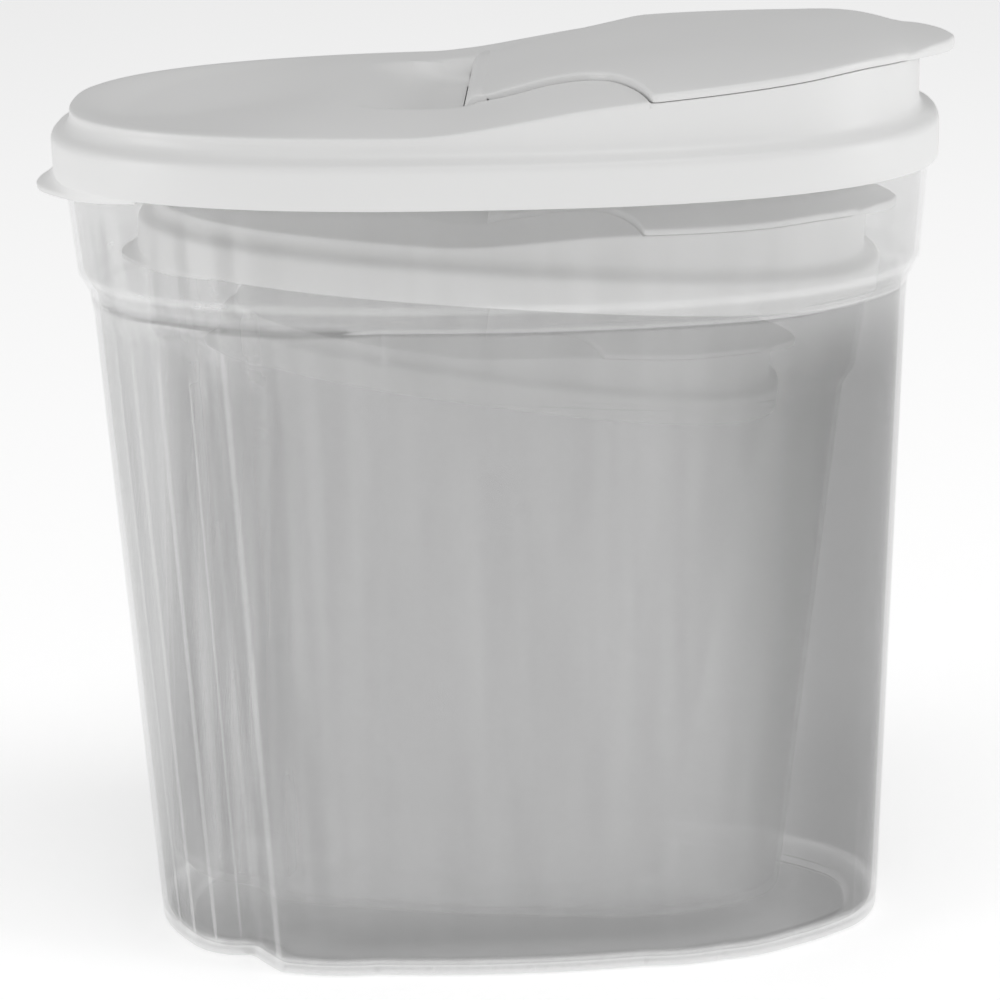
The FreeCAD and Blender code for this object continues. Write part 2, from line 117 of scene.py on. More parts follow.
def oval_half(x, inset):
    """Half width of the oval at x."""
    share = np.minimum(np.abs(x) / (HALF_LENGTH - inset), 0.995)
    return (HALF_WIDTH - inset) * (1 - share**OVAL_POWER) ** (1 / OVAL_POWER)


def edge_height(x, y=0.0):
    """Height of the deck's and the flap's outer edge, in profile."""
    return profile(EDGE_PROFILE, x)


def smooth(share):
    """Smooth step from 0 to 1."""
    share = np.clip(share, 0.0, 1.0)
    return share * share * (3 - 2 * share)


def deck_height(x, y):
    """Upper surface of the lid: domed, with a soft valley towards the grip end."""
    half = np.maximum(oval_half(x, COLLAR_INSET), 22.0)
    across = np.minimum(np.abs(y) / half, 1.25)
    dome = profile(CROWN_PROFILE, x) * (1 - across**CROWN_POWER)
    soft = np.sqrt(y * y + VALLEY_ROUNDING**2) - VALLEY_ROUNDING
    level = (np.abs(x) / (HALF_LENGTH - COLLAR_INSET)) ** OVAL_POWER
    level = level + (np.abs(y) / (HALF_WIDTH - COLLAR_INSET)) ** OVAL_POWER
    fade = smooth((1 - level) / VALLEY_FADE)
    valley = profile(VALLEY_PROFILE, x) * np.maximum(1 - soft / (0.92 * half), 0.0)
    return edge_height(x) + dome - valley * fade


def scooped_deck(x, y):
    """Deck with the thumb scoop that sinks smoothly into the hinge trough."""
    away = np.maximum(TROUGH_LEFT - x, 0.0) / SCOOP_LENGTH
    rim = np.sqrt(away**2 + (y / SCOOP_SIDE) ** 12)
    depth = smooth((1 - rim) / SCOOP_BLEND) * (1 - smooth((x - TROUGH_LEFT) / SCOOP_END))
    return deck_height(x, y) + (TROUGH_FLOOR - deck_height(x, y)) * depth


# ---------------------------------------------------------------- plan outlines
def spline(points, spacing=0.8):
    """Dense smooth curve through a few points (natural cubic over chord length)."""
    p = np.array(points, float)
    s = np.concatenate([[0], np.cumsum(np.linalg.norm(np.diff(p, axis=0), axis=1))])
    n = len(p)
    system, right = np.zeros((n, n)), np.zeros((n, p.shape[1]))
    system[0, 0] = system[-1, -1] = 1.0
    for i in range(1, n - 1):
        a, b = s[i] - s[i - 1], s[i + 1] - s[i]
        system[i, i - 1:i + 2] = a, 2 * (a + b), b
        right[i] = 6 * ((p[i + 1] - p[i]) / b - (p[i] - p[i - 1]) / a)
    bend = np.linalg.solve(system, right)
    t = np.linspace(0, s[-1], max(int(s[-1] / spacing), 2) + 1)
    i = np.clip(np.searchsorted(s, t, side="right") - 1, 0, n - 2)
    h = s[i + 1] - s[i]
    u, v = ((s[i + 1] - t) / h)[:, None], ((t - s[i]) / h)[:, None]
    h2 = (h * h)[:, None] / 6
    return u * p[i] + v * p[i + 1] + ((u**3 - u) * bend[i] + (v**3 - v) * bend[i + 1]) * h2


def oval(inset, count=360):
    """Superellipse outline of the lid, counter-clockwise from +X."""
    t = np.linspace(0, 2 * math.pi, count, endpoint=False)
    c, s = np.cos(t), np.sin(t)
    x = (HALF_LENGTH - inset) * np.sign(c) * np.abs(c) ** (2 / OVAL_POWER)
    y = (HALF_WIDTH - inset) * np.sign(s) * np.abs(s) ** (2 / OVAL_POWER)
    return np.stack([x, y], 1)


def oval_level(points, inset):
    """Below 1 inside the oval, above 1 outside it."""
    x, y = np.abs(points[:, 0]), np.abs(points[:, 1])
    return (x / (HALF_LENGTH - inset)) ** OVAL_POWER + (y / (HALF_WIDTH - inset)) ** OVAL_POWER


def resample(loop, spacing, closed=True):
    """The same line with evenly spaced points."""
    loop = np.asarray(loop, float)
    if closed:
        loop = np.vstack([loop, loop[:1]])
    s = np.concatenate([[0], np.cumsum(np.linalg.norm(np.diff(loop, axis=0), axis=1))])
    count = max(int(round(s[-1] / spacing)), 8)
    t = np.linspace(0, s[-1], count, endpoint=False) if closed else np.linspace(0, s[-1], count)
    return np.stack([np.interp(t, s, loop[:, k]) for k in range(loop.shape[1])], 1)


def soften(loop, passes=3):
    """Rounds the corners of a dense closed loop."""
    for _ in range(passes):
        loop = 0.5 * loop + 0.25 * (np.roll(loop, 1, 0) + np.roll(loop, -1, 0))
    return loop


def offset(loop, distance):
    """Moves a closed loop towards its left, which is inwards for a counter-clockwise one."""
    ahead = np.roll(loop, -1, 0) - loop
    ahead /= np.linalg.norm(ahead, axis=1)[:, None]
    behind = np.roll(ahead, 1, 0)
    n1, n2 = np.stack([-behind[:, 1], behind[:, 0]], 1), np.stack([-ahead[:, 1], ahead[:, 0]], 1)
    cosine = np.maximum((n1 * n2).sum(1), -0.3)
    distance = np.broadcast_to(distance, len(loop))
    return loop + (distance / (1 + cosine))[:, None] * (n1 + n2)


def flip(half):
    """The other half of an outline, mirrored across the middle and run backwards."""
    return [(x, -y) for x, y in reversed(list(half))]


def sweep_curve(grow):
    """The flap's flare from its narrow neck out to the collar, on the -Y side."""
    shares = (1.0, 1.0, 0.8, 0.5, 0.0, 0.0)
    moved = [(x - grow, y - grow * k) for (x, y), k in zip(FLAP_SWEEP, shares)]
    curve = spline(moved)
    return curve[oval_level(curve, COLLAR_INSET) < 1.0]


def oval_arc(low_x, high_x, side):
    """Points of the collar's oval between two x, on one side, towards +X."""
    x = np.linspace(low_x, high_x, int((high_x - low_x) / 0.7))
    return np.stack([x, side * oval_half(x, COLLAR_INSET)], 1)


def flap_outline():
    """The flap from its hinge to its thumb lip, counter-clockwise."""
    sweep = sweep_curve(0.0)
    neck = [(HINGE_X, -HINGE_HALF), (4.0, -HINGE_HALF), (10.0, -HINGE_HALF)]
    half = neck + [tuple(p) for p in sweep]
    half += [tuple(p) for p in oval_arc(sweep[-1][0] + 0.5, 107.2, -1)]
    half += [tuple(p) for p in spline(LIP)]
    return soften(resample(half + flip(half)[1:], 0.9), 2)


def deck_outline():
    """The deck, up to the hinge trough and the flap's sweep, counter-clockwise."""
    sweep = sweep_curve(FLAP_GAP)
    rim = oval(COLLAR_INSET, 720)
    rim = rim[rim[:, 0] < sweep[-1][0]]
    neck = [(x, -TROUGH_SIDE) for x in (10.0, 4.0, -2.0, TROUGH_LEFT)]
    inner = [tuple(p) for p in sweep[::-1]] + neck
    return resample([tuple(p) for p in rim] + inner + flip(inner), 0.9)


def seat_outline():
    """Floor under the flap, from the trough to the pouring end."""
    sweep = sweep_curve(FLAP_GAP + 1.0)
    half = [(TROUGH_RIGHT, -33.0)] + [tuple(p) for p in sweep]
    half += [tuple(p) for p in oval_arc(sweep[-1][0] + 0.5, HALF_LENGTH - COLLAR_INSET - 0.6, -1)]
    return soften(resample(half + flip(half), 0.9), 1)


def rounded(corners, steps=10):
    """Dense closed outline of straight runs and tangent arcs through (x, y, radius) corners."""
    points, count = [], len(corners)
    for i in range(count):
        before, here, after = (np.array(corners[(i + k) % count][:2]) for k in (-1, 0, 1))
        d1 = (here - before) / np.linalg.norm(here - before)
        d2 = (after - here) / np.linalg.norm(after - here)
        turn = math.atan2(d1[0] * d2[1] - d1[1] * d2[0], d1 @ d2)
        reach = corners[i][2] * math.tan(abs(turn) / 2)
        centre_side = np.array([-d1[1], d1[0]]) * math.copysign(corners[i][2], turn)
        start = here - d1 * reach
        centre = start + centre_side
        for k in range(steps + 1):
            a = turn * k / steps
            arm = start - centre
            points.append(centre + np.array([arm[0] * math.cos(a) - arm[1] * math.sin(a),
                                             arm[0] * math.sin(a) + arm[1] * math.cos(a)]))
    return np.array(points)


def mouth_outline(inset=0.0):
    """The pouring mouth under the flap."""
    half = list(MOUTH)
    corners = half + [(x, -y, r) for x, y, r in reversed(half)]
    loop = resample(rounded(corners), 1.2)
    return offset(loop, inset) if inset else loop


# ---------------------------------------------------------------- solids
class Solid:
    """Vertices and faces of one piece. Each closed skin is welded on its own."""

    def __init__(self):
        self.points, self.faces = [], []

    def add(self, points, faces):
        points = np.asarray(points, float)
        keys = np.round(points, 3)
        _, first, where = np.unique(keys, axis=0, return_index=True, return_inverse=True)
        where = where.reshape(-1)
        base = len(self.points)
        self.points.extend(points[first].tolist())
        for face in faces:
            kept = []
            for v in face:
                w = int(where[v]) + base
                if w not in kept:
                    kept.append(w)
            if len(kept) > 2:
                self.faces.append(kept)

    def rings(self, loops, closed=False, centre_first=None, centre_last=None):
        """Skin over loops of equal count, closed on itself or ended in centre points."""
        count = len(loops[0])
        points = np.vstack(loops)
        faces = []
        turns = len(loops) if closed else len(loops) - 1
        for k in range(turns):
            a, b = k * count, ((k + 1) % len(loops)) * count
            for i in range(count):
                j = (i + 1) % count
                faces.append((a + i, a + j, b + j, b + i))
        for centre, start in ((centre_first, 0), (centre_last, (len(loops) - 1) * count)):
            if centre is not None:
                points = np.vstack([points, [centre]])
                tip = len(points) - 1
                faces += [(start + i, start + (i + 1) % count, tip) for i in range(count)]
        self.add(points, faces)


def inside(points, loops):
    """Whether points lie within the loops but not within their holes."""
    hit = np.zeros(len(points), bool)
    for loop in loops:
        x1, y1 = loop[:, 0], loop[:, 1]
        x2, y2 = np.roll(x1, -1), np.roll(y1, -1)
        px, py = points[:, 0][:, None], points[:, 1][:, None]
        spans = (y1 > py) != (y2 > py)
        rise = np.where(y2 == y1, 1e-12, y2 - y1)
        cross = spans & (px < (x2 - x1) * (py - y1) / rise + x1)
        hit ^= (cross.sum(1) % 2).astype(bool)
    return hit


def patch(loops, height, spacing):
    """Triangles within plan loops, lifted to height(x, y)."""
    edge = np.vstack(loops)
    low, high = edge.min(0), edge.max(0)
    columns = np.arange(low[0] + spacing / 2, high[0], spacing)
    rows = np.arange(0, high[1], spacing)
    rows = np.concatenate([-rows[:0:-1], rows])
    grid = np.array([(x, y) for x in columns for y in rows]).reshape(-1, 2)
    near = np.array([np.min(np.abs(edge[:, 0] - x) + np.abs(edge[:, 1] - y)) for x, y in grid])
    grid = grid[(near > 0.75 * spacing) & inside(grid, loops)]
    fixed, start = [], 0
    for loop in loops:
        fixed += [(start + i, start + (i + 1) % len(loop)) for i in range(len(loop))]
        start += len(loop)
    flat = [Vector(p) for p in np.vstack([edge, grid])]
    verts, lines, tris, _, line_sources, _ = delaunay_2d_cdt(flat, fixed, [], 0, 1e-5)
    plan = np.array([tuple(v) for v in verts])
    walls = {frozenset(line) for line, sources in zip(lines, line_sources) if sources}
    tris = keep_inside(plan, [t for t in tris if len(t) == 3], walls, loops)
    return np.column_stack([plan, height(plan[:, 0], plan[:, 1])]), tris


def keep_inside(plan, tris, walls, loops):
    """Triangles of the regions that lie within the loops. Regions are parted by the walls."""
    beside = {}
    for k, t in enumerate(tris):
        for a, b in ((t[0], t[1]), (t[1], t[2]), (t[2], t[0])):
            beside.setdefault(frozenset((a, b)), []).append(k)
    region, regions = [-1] * len(tris), 0
    for first in range(len(tris)):
        if region[first] >= 0:
            continue
        waiting = [first]
        region[first] = regions
        while waiting:
            t = tris[waiting.pop()]
            for a, b in ((t[0], t[1]), (t[1], t[2]), (t[2], t[0])):
                side = frozenset((a, b))
                for other in beside[side] if side not in walls else ():
                    if region[other] < 0:
                        region[other] = regions
                        waiting.append(other)
        regions += 1
    corners = plan[np.array(tris)]
    u, v = corners[:, 1] - corners[:, 0], corners[:, 2] - corners[:, 0]
    area = np.abs(u[:, 0] * v[:, 1] - u[:, 1] * v[:, 0])
    region = np.array(region)
    largest = [int(np.argmax(np.where(region == r, area, -1))) for r in range(regions)]
    kept = inside(corners[largest].mean(1), loops)
    return [t for t, r in zip(tris, region) if kept[r]]


def lift(loop, height, drop=0.0):
    """Plan points raised to height(x, y), less a drop."""
    return np.column_stack([loop, height(loop[:, 0], loop[:, 1]) - drop])


def plate(solid, loops, top, under, side_foot, radius, rim, spacing=2.6, foot_radius=0.0):
    """Closed moulded shell over plan loops, with rounded upper edges and a rim below its edge.

    The outer loop is counter-clockwise and holes are clockwise. The rim is as wide as rim and
    reaches down to side_foot(x, y); within it the shell's underside is under(x, y). The radius
    may be a function of x and y.
    """
    points, faces = [], []

    def join(rows):
        base, count = sum(len(p) for p in points), len(rows[0])
        points.extend(rows)
        for k in range(len(rows) - 1):
            for i in range(count):
                j = (i + 1) % count
                a, b = base + k * count, base + (k + 1) * count
                faces.append((a + i, a + j, b + j, b + i))

    upper, lower = [], []
    for loop in loops:
        rows = [lift(offset(loop, rim), under), lift(offset(loop, rim), side_foot)]
        if foot_radius:
            rows.append(lift(offset(loop, foot_radius), side_foot))
            rows.append(lift(offset(loop, 0.3 * foot_radius), side_foot, -0.3 * foot_radius))
            rows.append(lift(loop, side_foot, -foot_radius))
        else:
            rows.append(lift(loop, side_foot))
        bend = radius(loop[:, 0], loop[:, 1]) if callable(radius) else radius
        for degrees in (0, 22.5, 45, 67.5, 90):
            a = math.radians(degrees)
            moved = offset(loop, bend * (1 - math.cos(a))) if degrees else loop
            rows.append(lift(moved, top, bend * (1 - math.sin(a))))
        join(rows)
        upper.append(offset(loop, bend))
        lower.append(offset(loop, rim))
    for inner_loops, height in ((upper, top), (lower, under)):
        extra, tris = patch(inner_loops, height, spacing)
        base = sum(len(p) for p in points)
        points.append(extra)
        faces += [tuple(base + v for v in t) for t in tris]
    solid.add(np.vstack(points), faces)


def ring_wall(solid, loop, thickness, top, foot, edge=0.3):
    """Upright wall along a closed loop, with softened edges."""
    rows = []
    for inset, z, soften_by in ((0, foot, edge), (edge, foot, 0), (thickness - edge, foot, 0),
                                (thickness, foot, edge), (thickness, top, -edge),
                                (thickness - edge, top, 0), (edge, top, 0), (0, top, -edge)):
        rows.append(lift(offset(loop, inset) if inset else loop, z, -soften_by))
    solid.rings(rows, closed=True)


def level(z):
    """A height that is the same everywhere."""
    return lambda x, y: np.full(np.shape(x), float(z))


# ---------------------------------------------------------------- the lid
def draw_lid():
    """Lid: skirt and collar, deck, seat under the flap, hinge trough, sealing ring and tab."""
    lid = Solid()
    # skirt, shoulder and collar as one skin, up to the deck's edge and back down inside
    rows = []
    for inset, z in LID_OUTSIDE:
        rows.append(lift(oval(inset), level(z)))
    collar = oval(COLLAR_INSET)
    shoulder_top = LID_OUTSIDE[-1][1]
    rows.append(lift(collar, lambda x, y: 0.4 * shoulder_top + 0.6 * (edge_height(x) - SHELL)))
    rows.append(lift(collar, edge_height, SHELL))
    rows.append(lift(oval(COLLAR_INSET + WALL), edge_height, SHELL))
    rows.append(lift(oval(COLLAR_INSET + WALL), level(CEILING)))
    rows.append(lift(oval(1.5), level(CEILING)))
    lid.rings(rows, closed=True)

    def deck_foot(x, y):
        by_trough = (x < TROUGH_RIGHT) & (x > TROUGH_LEFT - 2) & (np.abs(y) < TROUGH_SIDE + 0.4)
        return np.where(by_trough, TROUGH_FLOOR - 1.0, edge_height(x) - SHELL)

    def deck_radius(x, y):
        """The edge is sharper where the scoop runs into the trough."""
        depth = scooped_deck(x, y) - TROUGH_FLOOR
        by_scoop = x < TROUGH_LEFT + 1.0
        return np.where(by_scoop, np.clip(0.3 * depth, 0.05, DECK_EDGE), DECK_EDGE)

    plate(lid, [deck_outline()], scooped_deck, lambda x, y: scooped_deck(x, y) - SHELL,
          deck_foot, deck_radius, 1.2, spacing=1.8)

    def seat_top(x, y):
        return edge_height(x) - FLAP_GAP

    plate(lid, [seat_outline(), mouth_outline()[::-1]], seat_top,
          lambda x, y: edge_height(x) - SHELL, lambda x, y: edge_height(x) - SHELL,
          0.35, 1.2, spacing=4.0)
    # floor and front wall of the hinge trough
    side = TROUGH_SIDE + 1.1
    left, right = TROUGH_LEFT - 0.9, TROUGH_RIGHT + 1.1
    floor_loop = [(right, side), (left, side), (left, -side), (right, -side)]
    trough_under = level(TROUGH_FLOOR - 1.3)
    plate(lid, [resample(floor_loop, 1.3)], level(TROUGH_FLOOR), trough_under, trough_under,
          0.1, 1.0, spacing=4.0)
    trough_end = np.array([(3.2, -32.0), (4.6, -32.0), (4.6, 32.0), (3.2, 32.0)])
    plate(lid, [resample(trough_end, 1.4)], lambda x, y: edge_height(x) - 1.0,
          trough_under, trough_under, 0.2, 0.4, spacing=6.0)
    # ring that plugs the tub's mouth
    ring_wall(lid, oval(PLUG_INSET), WALL, level(CEILING + 0.6), level(CEILING - PLUG_DEPTH))
    draw_tab(lid)
    return lid


def draw_tab(lid):
    """Crescent pull tab that flares out and down from the skirt at the grip end."""
    rim = spline(TAB_RIM, 0.9)
    root = np.column_stack([-oval_edge_x(rim[:, 1], 0.4), rim[:, 1]])
    reach = rim[:, :2] - root
    grown = np.clip(np.linalg.norm(reach, axis=1) / 4.0, 0, 1)
    root_z = SKIRT_BOTTOM + 0.6 + TAB_ROOT_RISE * grown
    rows = []
    for out, sink in TAB_SECTION:
        z = root_z + (rim[:, 2] - root_z) * sink
        rows.append(np.column_stack([root + reach * out, z]))
    for out, sink in TAB_SECTION[::-1]:
        z = root_z + (rim[:, 2] - root_z) * sink - TAB_THICKNESS
        rows.append(np.column_stack([root + reach * np.minimum(out, 0.985), z]))
    stations, count = len(rim), len(rows)
    faces = [(a, a + 1, b + 1, b)
             for k in range(count) for i in range(stations - 1)
             for a, b in ((k * stations + i, ((k + 1) % count) * stations + i),)]
    faces.append([k * stations for k in range(count)])
    faces.append([k * stations + stations - 1 for k in range(count)][::-1])
    lid.add(np.vstack(rows), faces)


def oval_edge_x(y, inset):
    """Half length of the skirt's outline at y."""
    share = (np.abs(y) / (HALF_WIDTH - inset)) ** OVAL_POWER
    return (HALF_LENGTH - inset) * (1 - share) ** (1 / OVAL_POWER)


# ---------------------------------------------------------------- the flap
def draw_flap():
    """Flap: crowned plate, rolled heel with its trunnions, and the ring that plugs the mouth."""
    flap = Solid()

    def top(x, y):
        blend = smooth((x - HINGE_X) / HEEL_BLEND)
        return (1 - blend) * (HINGE_Z + HINGE_RADIUS) + blend * (deck_height(x, y) + FLAP_TOP)

    def under(x, y):
        return np.minimum(deck_height(x, y) + FLAP_UNDER, top(x, y) - 1.2)

    def foot(x, y):
        return np.minimum(edge_height(x) - 0.25, under(x, y))

    plate(flap, [flap_outline()], top, under, foot, 0.75, 1.3, foot_radius=0.25)
    # rolled end with its two trunnions
    ends = ((-HINGE_HALF - PIN_LENGTH, 1.2), (-HINGE_HALF - PIN_LENGTH + 0.3, PIN_RADIUS),
            (-HINGE_HALF, PIN_RADIUS), (-HINGE_HALF, HINGE_RADIUS - 0.6),
            (-HINGE_HALF + 0.2, HINGE_RADIUS - 0.2), (-HINGE_HALF + 0.6, HINGE_RADIUS))
    stations = list(ends) + [(-20.0, HINGE_RADIUS), (-7.0, HINGE_RADIUS)]
    stations += [(-y, r) for y, r in reversed(stations)]
    turn = np.linspace(0, 2 * math.pi, HEEL_TURNS, endpoint=False)
    rows = []
    for y, r in stations:
        around = (HINGE_X + r * np.cos(turn), np.full(HEEL_TURNS, y), HINGE_Z + r * np.sin(turn))
        rows.append(np.column_stack(around))
    flap.rings(rows, centre_first=(HINGE_X, stations[0][0], HINGE_Z),
               centre_last=(HINGE_X, stations[-1][0], HINGE_Z))
    ring_wall(flap, mouth_outline(0.7), WALL, lambda x, y: under(x, y) + 0.6,
              lambda x, y: edge_height(x) - 3.2)
    return flap


# ---------------------------------------------------------------- the tub
def body_corners(share, inset, roof=False):
    """Corners (x, y, radius) of the tub's outline, share of the way from base to recess top."""
    def between(base, top):
        return base + (top - base) * share

    if roof:
        half = [(-112.3, -14.6, 36.0), (-97.6, -36.6, 18.0), (-84.6, -43.8, 4.0),
                (-71.8, -49.8, 8.0), (14.0, -57.4, 330.0), (77.1, -46.7, 50.0),
                (103.2, -24.7, 4.0), (112.0, -15.3, 31.0)]
    else:
        half = [(between(-104.3, -112.2), between(-12.2, -13.6), between(35.0, 38.0)),
                (between(-87.6, -95.2), between(-35.3, -37.6), 19.0),
                (between(-74.8, -80.5), between(-35.3, -37.6), 4.0),
                (between(-65.6, -71.6), between(-46.4, -49.6), 3.4),
                (between(0.0, 14.0), between(-51.0, -57.2), 330.0),
                (between(71.0, 77.0), between(-39.6, -46.5), 50.0),
                (between(97.3, 103.0), between(-21.6, -24.6), 4.0),
                (between(105.4, 111.8), between(-12.9, -15.2), between(27.0, 31.0))]
    corners = half + [(x, -y, r) for x, y, r in reversed(half)]
    moved, count = [], len(corners)
    for i in range(count):
        before, here, after = (np.array(corners[(i + k) % count][:2]) for k in (-1, 0, 1))
        d1 = (here - before) / np.linalg.norm(here - before)
        d2 = (after - here) / np.linalg.norm(after - here)
        n1, n2 = np.array([-d1[1], d1[0]]), np.array([-d2[1], d2[0]])
        turning_in = d1[0] * d2[1] - d1[1] * d2[0] > 0
        radius = corners[i][2] - inset if turning_in else corners[i][2] + inset
        shift = (n1 + n2) * inset / (1 + n1 @ n2)
        moved.append((here[0] + shift[0], here[1] + shift[1], max(radius, 0.6)))
    return moved


def reach_at(loop, angles):
    """Distance from the axis to a star-shaped outline, in the given directions."""
    own = np.arctan2(loop[:, 1], loop[:, 0])
    order = np.argsort(own)
    own, reach = own[order], np.hypot(loop[:, 0], loop[:, 1])[order]
    own = np.concatenate([own[-3:] - 2 * math.pi, own, own[:3] + 2 * math.pi])
    reach = np.concatenate([reach[-3:], reach, reach[:3]])
    return np.interp(angles, own, reach)


def eased(k):
    """A share from 0 to 1, with a little ease at both ends."""
    return 0.35 * k * k * (3 - 2 * k) + 0.65 * k


def draw_tub():
    tub = Solid()
    middle = resample(rounded(body_corners(0.5, 0.0)), 0.55)
    angles = np.sort(np.arctan2(middle[:, 1], middle[:, 0]))
    aim = np.stack([np.cos(angles), np.sin(angles)], 1)

    def body(share, inset, roof=False):
        return reach_at(rounded(body_corners(share, inset, roof), 16), angles)

    def band(inset):
        return reach_at(oval(inset, 1440), angles)

    def row(reach, z):
        return np.column_stack([aim * reach[:, None], np.full(len(angles), float(z))])

    def ribbed(share, z):
        """Body outline with the fine upright ribs of the grip."""
        reach = body(share, 0.0)
        bend = 35.0 + 3.0 * share
        nose = -104.3 - 7.9 * share + bend
        at = aim * reach[:, None]
        turn = np.degrees(np.arctan2(np.abs(at[:, 1]), nose - at[:, 0]))
        fade = np.clip((z - RIB_FOOT) / RIB_FADE, 0, 1)
        fade = fade * np.clip((RECESS_TOP - RIB_FOOT - z) / RIB_FADE, 0, 1)
        for angle in RIB_ANGLES:
            away = np.radians(turn - angle) * bend
            on_nose = at[:, 0] < nose + 2.0
            reach = reach + on_nose * fade * RIB_HEIGHT * np.exp(-(away / RIB_SPREAD) ** 2)
        return row(reach, z)

    rows = []
    ledge = body(0.0, KICK_INSET + 1.0)
    for scale in (0.25, 0.5, 0.75):
        rows.append(row(ledge * scale, KICK_UP))
    rows.append(row(ledge, KICK_UP))
    rows.append(row(body(0.0, KICK_INSET + 0.4), 0.7 * KICK_UP))
    rows.append(row(body(0.0, KICK_INSET), 0.0))
    for inset, z in ((1.6, 0.0), (0.9, 0.12), (0.4, 0.45), (0.12, 0.9)):
        rows.append(row(body(0.0, inset), z))
    for z in (1.4, 3.0, 6.0, 10.0, 20.0, 40.0, 65.0, 90.0, 115.0, 140.0, 160.0, 172.0, 177.0,
              180.5, RECESS_TOP - 0.8):
        rows.append(ribbed(WALL_LEAN * z / RECESS_TOP, z))
    low, high = body(WALL_LEAN, 0.0), body(1.0, 0.0, True)
    roof_rise = SHOULDER_FOOT - 1.6 - RECESS_TOP
    for k in (0.0, 0.1, 0.25, 0.45, 0.65, 0.82, 0.94, 1.0):
        rows.append(row(low + (high - low) * eased(k), RECESS_TOP + roof_rise * k))
    foot = band(BAND_FOOT_INSET)
    outer_foot = np.maximum(foot, high + 0.05)
    rows.append(row(high + 0.25 * (outer_foot - high), SHOULDER_FOOT - 1.25))
    rows.append(row(high + 0.8 * (outer_foot - high), SHOULDER_FOOT - 1.1))
    rows.append(row(outer_foot, SHOULDER_FOOT - 0.6))
    for share in (0.1, 0.3, 0.5, 0.7, 0.88):
        inset = BAND_FOOT_INSET + (BAND_INSET - BAND_FOOT_INSET) * share
        z = SHOULDER_FOOT + (SHOULDER_TOP - SHOULDER_FOOT) * share
        rows.append(row(np.maximum(band(inset), outer_foot), z))
    slope = (RIM_INSET - BAND_INSET) / (TUB_RIM - SHOULDER_TOP)
    for z in (SHOULDER_TOP - 0.2, SHOULDER_TOP + 0.8, SHOULDER_TOP + 2.5, 208.0, 220.0,
              TUB_RIM - 0.5):
        rows.append(row(band(BAND_INSET + slope * (z - SHOULDER_TOP)), z))
    rows.append(row(band(RIM_INSET + 0.4), TUB_RIM))
    rows.append(row(band(RIM_INSET + WALL - 0.4), TUB_RIM))
    for z in (TUB_RIM - 0.5, 220.0, 208.0, SHOULDER_TOP + 2.5, SHOULDER_TOP + 0.5):
        rows.append(row(band(BAND_INSET + WALL + slope * (z - SHOULDER_TOP)), z))
    for share in (0.85, 0.6, 0.35):
        inset = BAND_FOOT_INSET + (BAND_INSET - BAND_FOOT_INSET) * share + WALL
        rows.append(row(band(inset), SHOULDER_FOOT + (SHOULDER_TOP - SHOULDER_FOOT) * share))
    inner_foot = band(BAND_FOOT_INSET + WALL)
    rows.append(row(inner_foot, SHOULDER_FOOT + 0.8))
    inner_low, inner_high = body(WALL_LEAN, WALL), body(1.0, WALL, True)
    inner_high = np.minimum(inner_high, inner_foot - 0.05)
    rows.append(row(0.75 * inner_foot + 0.25 * inner_high, SHOULDER_FOOT + 0.4))
    rows.append(row(inner_high, SHOULDER_FOOT))
    for k in (0.94, 0.82, 0.65, 0.45, 0.25, 0.1, 0.0):
        across = inner_low + (inner_high - inner_low) * eased(k)
        rows.append(row(across, RECESS_TOP + roof_rise * k))
    for z in (177.0, 160.0, 130.0, 100.0, 70.0, 40.0, 20.0, 8.0, 5.0):
        rows.append(row(body(WALL_LEAN * z / RECESS_TOP, WALL), z))
    for inset, z in ((0.25, 3.6), (0.9, 2.6), (1.9, 1.95), (3.0, FLOOR)):
        rows.append(row(body(0.0, WALL + inset), z))
    rows.append(row(body(0.0, KICK_INSET - WALL), FLOOR))
    rows.append(row(body(0.0, KICK_INSET - WALL + 0.8), FLOOR + 0.75 * KICK_UP))
    inner_floor = body(0.0, KICK_INSET - WALL + 1.6)
    for scale in (1.0, 0.75, 0.5, 0.25):
        rows.append(row(inner_floor * scale, FLOOR + KICK_UP))
    tub.rings(rows, centre_first=(0, 0, KICK_UP), centre_last=(0, 0, FLOOR + KICK_UP))
    return tub


# ---------------------------------------------------------------- pieces
def placement(length, width, height, x, z, tilt):
    """From the drawing in millimetres to the frame in metres."""
    turn = Matrix.Rotation(math.radians(tilt), 4, "Y")
    scale = Matrix.Diagonal((length, width, height, 1.0))
    return Matrix.Scale(0.001, 4) @ Matrix.Translation((x, 0, z)) @ turn @ scale


def make_piece(name, solid, matrix, material, sharp_degrees):
    """A closed, shaded mesh object from a drawing."""
    mesh = bpy.data.meshes.new(name)
    mesh.from_pydata(solid.points, [], solid.faces)
    mesh.transform(matrix)
    work = bmesh.new()
    work.from_mesh(mesh)
    gaps = [edge for edge in work.edges if edge.is_boundary]
    bmesh.ops.holes_fill(work, edges=gaps, sides=6)
    bmesh.ops.recalc_face_normals(work, faces=work.faces)
    work.to_mesh(mesh)
    work.free()
    mesh.shade_smooth()
    mesh.set_sharp_from_angle(angle=math.radians(sharp_degrees))
    mesh.materials.append(material)
    piece = bpy.data.objects.new(name, mesh)
    bpy.context.scene.collection.objects.link(piece)
    return piece


# ---------------------------------------------------------------- materials
def node(tree, kind, **settings):
    """A shader node, with settings for its inputs or its own properties."""
    made = tree.nodes.new(kind)
    for key, value in settings.items():
        if key in made.inputs:
            made.inputs[key].default_value = value
        else:
            setattr(made, key, value)
    return made


